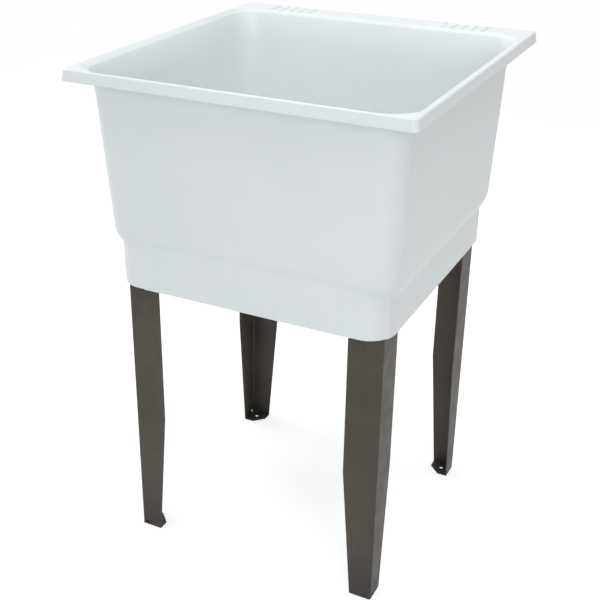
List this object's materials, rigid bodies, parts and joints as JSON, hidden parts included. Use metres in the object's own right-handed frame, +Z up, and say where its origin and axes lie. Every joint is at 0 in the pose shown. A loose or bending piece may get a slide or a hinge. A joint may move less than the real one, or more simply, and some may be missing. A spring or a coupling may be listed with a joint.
{
  "type": "utility laundry sink",
  "caption": "Deep square moulded laundry sink with a back deck and soap rests, standing on tapered pressed steel angle legs, with a drain fitting and lift-out stopper.",
  "frame": {"origin": "on the floor, under the centre of the rim", "axes": "+Z up, +X to the right of a person who stands at the sink, +Y back to the deck and the wall"},
  "size_m": [0.572, 0.602, 0.871],
  "materials": {
    "tub_plastic": "smooth moulded, satin gloss",
    "leg_paint": "dark bronze baked paint, satin",
    "plated_steel": "zinc plated",
    "drain_steel": "polished stainless",
    "black_rubber": "matt",
    "white_washer": "matt"
  },
  "bodies": {
    "sink": {"tub": "tub_plastic", "leg_rear_right": "leg_paint", "leg_rear_left": "leg_paint", "leg_front_left": "leg_paint", "leg_front_right": "leg_paint", "leg_screw_rear_right_face": "plated_steel", "leg_screw_rear_right_side": "plated_steel", "leg_screw_rear_left_face": "plated_steel", "leg_screw_rear_left_side": "plated_steel", "leg_screw_front_left_face": "plated_steel", "leg_screw_front_left_side": "plated_steel", "leg_screw_front_right_face": "plated_steel", "leg_screw_front_right_side": "plated_steel", "drain_body": "drain_steel", "drain_gasket": "black_rubber", "friction_washer": "white_washer", "drain_locknut": "plated_steel", "tailpiece_washer": "white_washer", "tailpiece": "drain_steel", "coupling_nut": "plated_steel"},
    "stopper": {"stopper": "black_rubber"}
  },
  "joints": [
    {"name": "stopper_lift", "type": "slide", "parent": "sink", "child": "stopper", "axis": [0, 0, 1], "range_m": [0, 0.35]}
  ]
}
